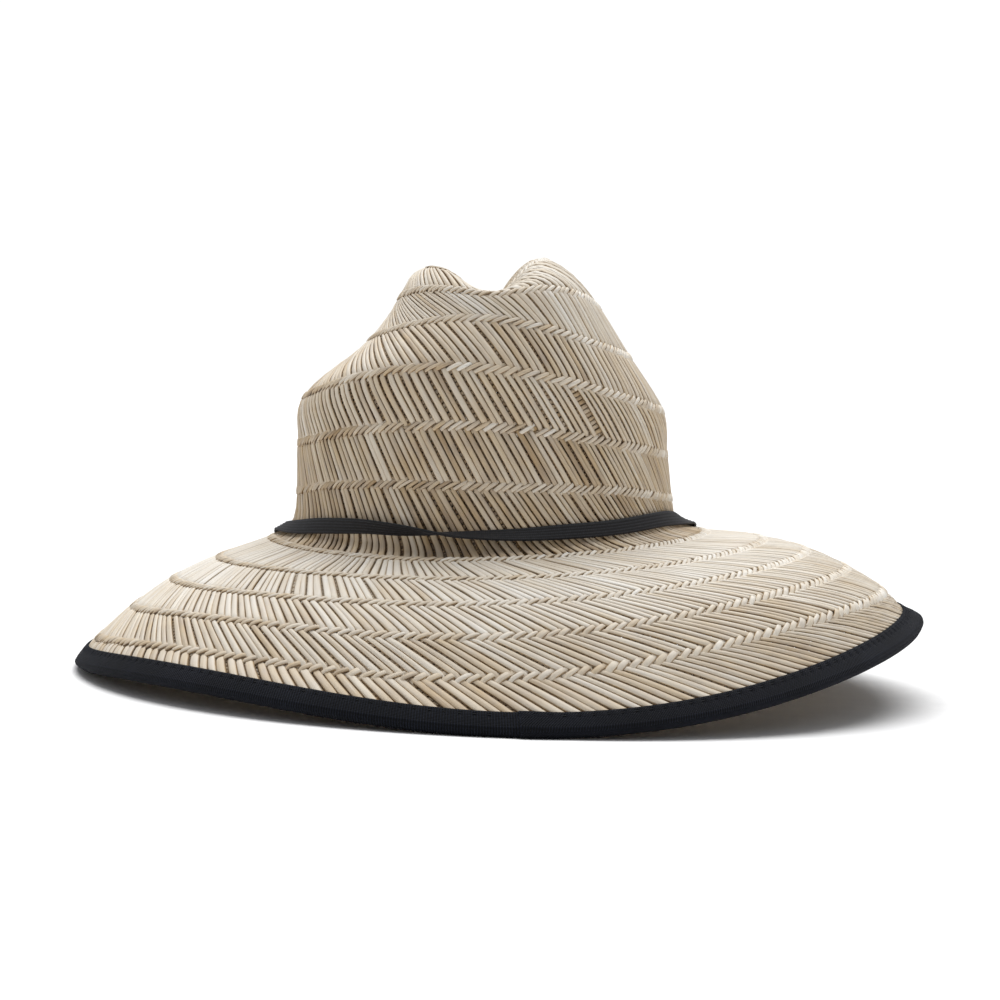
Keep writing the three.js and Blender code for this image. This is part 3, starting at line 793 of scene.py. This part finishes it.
# The materials. Cloth patterns are drawn by their pitch, coarser than real ones so that they show.
RIB_PITCH = 1.1 * MM
PICK_PITCH = 0.8 * MM
TWILL_END = 0.62
TWILL_LEAN = 0.8
KNIT_PITCH = 0.9 * MM
MATH = "ShaderNodeMath"
RAMP = "ShaderNodeValToRGB"
NOISE = "ShaderNodeTexNoise"
PRINCIPLED = "ShaderNodeBsdfPrincipled"


def linear(code):
    """A hex sRGB colour as Blender's linear one."""
    values = [int(code[i:i + 2], 16) / 255 for i in (1, 3, 5)]
    return tuple(v / 12.92 if v <= 0.04045 else ((v + 0.055) / 1.055) ** 2.4 for v in values) + (1.0,)


def add(tree, kind, settings=(), stops=(), **links):
    """Adds a node, sets its values and colour stops, and links its inputs from (node, output)."""
    node = tree.nodes.new(kind)
    while stops and len(node.color_ramp.elements) < len(stops):
        node.color_ramp.elements.new(0.5)
    for k, (place, colour) in enumerate(stops):
        stop = node.color_ramp.elements[k]
        stop.position, stop.color = place, linear(colour)
    for key, value in dict(settings).items():
        if isinstance(key, str) and key not in node.inputs:
            setattr(node, key, value)
        else:
            node.inputs[key].default_value = value
    for key, (source, output) in links.items():
        name = key.replace("_", " ")
        socket = node.inputs[int(key[1:])] if key[1:].isdigit() else node.inputs[name]
        tree.links.new(source.outputs[output], socket)
    return node


def new_material(name):
    material = bpy.data.materials.new(name)
    material.use_nodes = True
    tree = material.node_tree
    tree.nodes.clear()
    return material, tree


def rush_material(name, painted_shade):
    """Dried whole rush stems, split by hand and woven: soft, faintly striped along each stem."""
    material, tree = new_material(name)
    tone = add(tree, "ShaderNodeAttribute", {"attribute_name": "tone"})
    length = add(tree, "ShaderNodeUVMap", {"uv_map": "length"})
    # Fibres run along the stem, about 0.25 mm apart and 15 mm long.
    fibres_at = add(tree, "ShaderNodeMapping", {"Scale": (65.0, 12.0, 1.0)}, Vector=(length, "UV"))
    fibres = add(tree, NOISE, {"Scale": 1.0, "Detail": 3.0}, Vector=(fibres_at, "Vector"))
    # Weathered patches a few stems wide, and short stains along one stem.
    place = add(tree, "ShaderNodeTexCoord")
    patches = add(tree, NOISE, {"Scale": 38.0, "Detail": 2.0}, Vector=(place, "Object"))
    stains_at = add(tree, "ShaderNodeMapping", {"Scale": (95.0, 1.6, 1.0)}, Vector=(length, "UV"))
    stains = add(tree, NOISE, {"Scale": 1.0, "Detail": 2.0}, Vector=(stains_at, "Vector"))
    pale = add(tree, MATH, {"operation": "MULTIPLY_ADD", 1: 0.26, 2: -0.13}, i0=(fibres, "Fac"))
    pale = add(tree, MATH, {"operation": "MULTIPLY_ADD", 1: 0.30}, i0=(patches, "Fac"), i2=(pale, "Value"))
    pale = add(tree, MATH, {"operation": "MULTIPLY_ADD", 1: 0.26}, i0=(stains, "Fac"), i2=(pale, "Value"))
    pale = add(tree, MATH, {"operation": "ADD"}, i0=(pale, "Value"), i1=(tone, "Fac"))
    # The flanks, where one stem meets the next, are painted darker: painted shade between the stems. V runs
    # once round the stem.
    round_stem = add(tree, "ShaderNodeSeparateXYZ", Vector=(length, "UV"))
    turn = add(tree, MATH, {"operation": "MULTIPLY", 1: 2 * math.pi}, i0=(round_stem, "Y"))
    flank = add(tree, MATH, {"operation": "COSINE"}, i0=(turn, "Value"))
    flank = add(tree, MATH, {"operation": "ABSOLUTE"}, i0=(flank, "Value"))
    painted_flank_shade = add(tree, "ShaderNodeMapRange", {"interpolation_type": "SMOOTHSTEP", "From Min": 0.8,
                                              "From Max": 1.0, "To Min": 0.0, "To Max": -0.36},
                 Value=(flank, "Value"))
    pale = add(tree, MATH, {"operation": "ADD"}, i0=(pale, "Value"), i1=(painted_flank_shade, "Result"))
    # The second argument lowers every stem's paleness: painted shade, which makes the lining a darker copy
    # of the same straw.
    pale = add(tree, MATH, {"operation": "ADD", 1: -0.28 - painted_shade}, i0=(pale, "Value"))
    colour = add(tree, RAMP, stops=[
        (0.0, "#4b3a26"), (0.16, "#7c6244"), (0.34, "#a98f6c"), (0.52, "#c9b597"), (0.74, "#ddd2c0"),
        (1.0, "#ece7dd")], Fac=(pale, "Value"))
    # Some stems dried greyer and some yellower than their neighbours.
    grey = add(tree, MATH, {"operation": "MULTIPLY_ADD", 1: 1.0, 2: 0.42}, i0=(stains, "Fac"))
    colour = add(tree, "ShaderNodeHueSaturation", Color=(colour, "Color"), Saturation=(grey, "Value"))
    bump = add(tree, "ShaderNodeBump", {"Strength": 0.5, "Distance": 0.00018}, Height=(fibres, "Fac"))
    rough = add(tree, MATH, {"operation": "MULTIPLY_ADD", 1: 0.25, 2: 0.45}, i0=(stains, "Fac"))
    shader = add(tree, PRINCIPLED, {"IOR": 1.48, "Specular IOR Level": 0.4},
                 Base_Color=(colour, "Color"), Roughness=(rough, "Value"), Normal=(bump, "Normal"))
    add(tree, "ShaderNodeOutputMaterial", Surface=(shader, "BSDF"))
    return material


def tape_material():
    """Black woven binding tape, taken to be cotton: a matt ribbed cloth with a faint blue cast."""
    material, tree = new_material("woven_cotton_tape")
    length = add(tree, "ShaderNodeUVMap", {"uv_map": "length"})
    split = add(tree, "ShaderNodeSeparateXYZ", Vector=(length, "UV"))
    # Ribs cross the tape. From the seam they lean over as twill for about half the way round.
    half = add(tree, MATH, {"operation": "LESS_THAN", 1: TWILL_END}, i0=(split, "X"))
    lean = add(tree, MATH, {"operation": "MULTIPLY", 1: TWILL_LEAN}, i0=(half, "Value"))
    slide = add(tree, MATH, {"operation": "MULTIPLY_ADD"}, i0=(split, "Y"), i1=(lean, "Value"),
                i2=(split, "X"))
    phase = add(tree, MATH, {"operation": "MULTIPLY", 1: 2 * math.pi / RIB_PITCH}, i0=(slide, "Value"))
    ribs = add(tree, MATH, {"operation": "SINE"}, i0=(phase, "Value"))
    cross = add(tree, MATH, {"operation": "MULTIPLY", 1: 2 * math.pi / PICK_PITCH}, i0=(split, "Y"))
    picks = add(tree, MATH, {"operation": "SINE"}, i0=(cross, "Value"))
    cloth = add(tree, MATH, {"operation": "MULTIPLY_ADD", 1: 0.35}, i0=(picks, "Value"),
                i2=(ribs, "Value"))
    place = add(tree, "ShaderNodeTexCoord")
    fuzz = add(tree, NOISE, {"Scale": 900.0, "Detail": 2.0}, Vector=(place, "Object"))
    worn = add(tree, NOISE, {"Scale": 45.0, "Detail": 3.0}, Vector=(place, "Object"))
    pale = add(tree, MATH, {"operation": "MULTIPLY_ADD", 1: 0.24, 2: 0.1}, i0=(cloth, "Value"))
    pale = add(tree, MATH, {"operation": "MULTIPLY_ADD", 1: 0.35}, i0=(fuzz, "Fac"), i2=(pale, "Value"))
    pale = add(tree, MATH, {"operation": "MULTIPLY_ADD", 1: 0.4}, i0=(worn, "Fac"), i2=(pale, "Value"))
    colour = add(tree, RAMP, stops=[(0.15, "#050608"), (0.5, "#0c0e14"), (0.9, "#232734")],
                 Fac=(pale, "Value"))
    bump = add(tree, "ShaderNodeBump", {"Strength": 0.8, "Distance": 0.0003}, Height=(cloth, "Value"))
    shader = add(tree, PRINCIPLED,
                 {"IOR": 1.5, "Roughness": 0.86, "Specular IOR Level": 0.16, "Sheen Weight": 0.03,
                  "Sheen Roughness": 0.5, "Sheen Tint": linear("#8d93a6")},
                 Base_Color=(colour, "Color"), Normal=(bump, "Normal"))
    add(tree, "ShaderNodeOutputMaterial", Surface=(shader, "BSDF"))
    return material


def thread_material():
    """Black polyester sewing thread: fine twisted strands with a little shine."""
    material, tree = new_material("polyester_thread")
    length = add(tree, "ShaderNodeUVMap", {"uv_map": "length"})
    at = add(tree, "ShaderNodeMapping", {"Scale": (2500.0, 2.0, 1.0)}, Vector=(length, "UV"))
    strands = add(tree, NOISE, {"Scale": 1.0, "Detail": 1.0}, Vector=(at, "Vector"))
    colour = add(tree, RAMP, stops=[(0.3, "#050608"), (0.7, "#0e0f13")], Fac=(strands, "Fac"))
    bump = add(tree, "ShaderNodeBump", {"Strength": 0.5, "Distance": 0.0001}, Height=(strands, "Fac"))
    shader = add(tree, PRINCIPLED,
                 {"IOR": 1.55, "Roughness": 0.7, "Specular IOR Level": 0.12},
                 Base_Color=(colour, "Color"), Normal=(bump, "Normal"))
    add(tree, "ShaderNodeOutputMaterial", Surface=(shader, "BSDF"))
    return material


def elastic_material():
    """Black knitted elastic: covered rubber strands along it, crossed by fine knitting."""
    material, tree = new_material("knitted_elastic")
    length = add(tree, "ShaderNodeUVMap", {"uv_map": "length"})
    split = add(tree, "ShaderNodeSeparateXYZ", Vector=(length, "UV"))
    cross = add(tree, MATH, {"operation": "MULTIPLY", 1: 2 * math.pi / KNIT_PITCH}, i0=(split, "X"))
    picks = add(tree, MATH, {"operation": "SINE"}, i0=(cross, "Value"))
    place = add(tree, "ShaderNodeTexCoord")
    fuzz = add(tree, NOISE, {"Scale": 1100.0, "Detail": 2.0}, Vector=(place, "Object"))
    # The strands' crowns catch the light. V counts the section's corners, whose odd ones are crowns.
    strand = add(tree, MATH, {"operation": "MULTIPLY_ADD", 1: math.pi * (4 * STRAP_RIBS + 4),
                                          2: -math.pi}, i0=(split, "Y"))
    strand = add(tree, MATH, {"operation": "COSINE"}, i0=(strand, "Value"))
    pale = add(tree, MATH, {"operation": "MULTIPLY_ADD", 1: 0.1, 2: 0.22}, i0=(picks, "Value"))
    pale = add(tree, MATH, {"operation": "MULTIPLY_ADD", 1: 0.26}, i0=(strand, "Value"), i2=(pale, "Value"))
    pale = add(tree, MATH, {"operation": "MULTIPLY_ADD", 1: 0.5}, i0=(fuzz, "Fac"), i2=(pale, "Value"))
    colour = add(tree, RAMP, stops=[(0.2, "#080809"), (0.5, "#111113"), (0.9, "#303036")],
                 Fac=(pale, "Value"))
    bump = add(tree, "ShaderNodeBump", {"Strength": 0.6, "Distance": 0.00025}, Height=(pale, "Value"))
    shader = add(tree, PRINCIPLED,
                 {"IOR": 1.5, "Roughness": 0.72, "Specular IOR Level": 0.35, "Sheen Weight": 0.08,
                  "Sheen Roughness": 0.4, "Sheen Tint": linear("#9a9aa4")},
                 Base_Color=(colour, "Color"), Normal=(bump, "Normal"))
    add(tree, "ShaderNodeOutputMaterial", Surface=(shader, "BSDF"))
    return material


rush = rush_material("dried_rush_stems", 0.0)
# The lining gets the same rush 0.12 darker, painted shade for the inner layer seen deep in the gaps.
rush_lining = rush_material("dried_rush_lining_painted_shade", 0.12)
tape_cloth = tape_material()
thread = thread_material()
elastic = elastic_material()

for piece, material, node, finish in [
    (crown_stems, rush, "crown", "rush_straw"), (crown_braids, rush, "crown", "rush_straw"),
    (crown_tip, rush, "crown", "rush_straw"), (crown_lining, rush_lining, "crown", "rush_straw"),
    (brim_stems, rush, "brim", "rush_straw"), (brim_braids, rush, "brim", "rush_straw"),
    (brim_lining, rush_lining, "brim", "rush_straw"),
    (binding, tape_cloth, "brim_binding", "binding_tape"),
    (stitch_thread, thread, "brim_binding", "binding_tape"),
    (strap, elastic, "chin_strap", "strap_elastic"),
]:
    piece.data.materials.clear()
    piece.data.materials.append(material)
    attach(piece, "root")
    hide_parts(node)


# The floor, the light and the camera.
FLOOR_RADIUS = 14.0
SUN_STRENGTH = 3.4
SUN_SOFTNESS = math.radians(60)
SUN_DIRECTION = (0.02, 0.40, 0.9)
FILL_STRENGTH = 0.36
BACKDROP_STRENGTH = 1.05


def floor_piece():
    bpy.ops.mesh.primitive_circle_add(vertices=96, radius=FLOOR_RADIUS, fill_type="NGON", location=(0, 0, 0))
    floor = bpy.context.view_layer.objects.active
    floor.name = "studio_floor"
    material, tree = new_material("pale_studio_floor")
    place = add(tree, "ShaderNodeTexCoord")
    grain = add(tree, NOISE, {"Scale": 60.0, "Detail": 3.0}, Vector=(place, "Object"))
    colour = add(tree, RAMP, stops=[(0.3, "#f7f7f7"), (0.7, "#fbfbfb")], Fac=(grain, "Fac"))
    shader = add(tree, PRINCIPLED, {"Roughness": 0.9, "Specular IOR Level": 0.1},
                 Base_Color=(colour, "Color"))
    add(tree, "ShaderNodeOutputMaterial", Surface=(shader, "BSDF"))
    floor.data.materials.append(material)
    return floor


floor_piece()


def studio_light():
    """One broad, soft light from above and a little beyond the hat, in an even pale room."""
    light = bpy.data.lights.new("overhead_diffused_light", "SUN")
    light.energy, light.angle = SUN_STRENGTH, SUN_SOFTNESS
    lamp = bpy.data.objects.new("overhead_diffused_light", light)
    lamp.rotation_euler = Vector(SUN_DIRECTION).to_track_quat("Z", "Y").to_euler()
    bpy.context.scene.collection.objects.link(lamp)
    # The room gives the hat a soft fill, and shows behind it as white as the lit floor.
    world = bpy.data.worlds.new("studio_surround")
    world.use_nodes = True
    tree = world.node_tree
    tree.nodes.clear()
    path = add(tree, "ShaderNodeLightPath")
    fill = add(tree, "ShaderNodeBackground", {"Color": linear("#fbfcff"), "Strength": FILL_STRENGTH})
    backdrop = add(tree, "ShaderNodeBackground", {"Color": linear("#ffffff"), "Strength": BACKDROP_STRENGTH})
    room = add(tree, "ShaderNodeMixShader", Fac=(path, "Is Camera Ray"), i1=(fill, "Background"),
               i2=(backdrop, "Background"))
    add(tree, "ShaderNodeOutputWorld", Surface=(room, "Shader"))
    bpy.context.scene.world = world
    bpy.context.scene.view_settings.view_transform = "Standard"


studio_light()

VIEW_TARGET = (3.785 * MM, 0.0, -0.09 * MM)
VIEW_ELEVATION = math.radians(2.5)
VIEW_ROLL = math.radians(-2.269)
VIEW_DISTANCE = 1.2
# The lens in pixels of the photograph: pixels a millimetre at the hat, times its distance in mm.
FOCAL_PIXELS = 2.1731 * 1200
PHOTO_WIDTH = 1000
SENSOR = 36.0


def photo_camera():
    """The photograph's viewpoint: from -Y, just above the brim, with a slight roll."""
    back = Vector((0, -math.cos(VIEW_ELEVATION), math.sin(VIEW_ELEVATION)))
    right = Vector((1, 0, 0))
    up = back.cross(right)
    x = right * math.cos(VIEW_ROLL) - up * math.sin(VIEW_ROLL)
    y = right * math.sin(VIEW_ROLL) + up * math.cos(VIEW_ROLL)
    lens = bpy.data.cameras.new("photo_camera")
    lens.sensor_width, lens.sensor_fit = SENSOR, "HORIZONTAL"
    lens.lens = FOCAL_PIXELS / PHOTO_WIDTH * SENSOR
    lens.clip_end = 100
    camera = bpy.data.objects.new("photo_camera", lens)
    place = Vector(OFFSET) + Vector(VIEW_TARGET) + back * VIEW_DISTANCE
    camera.matrix_world = Matrix.Translation(place) @ Matrix((x, y, back)).transposed().to_4x4()
    bpy.context.scene.collection.objects.link(camera)
    bpy.context.scene.camera = camera


photo_camera()
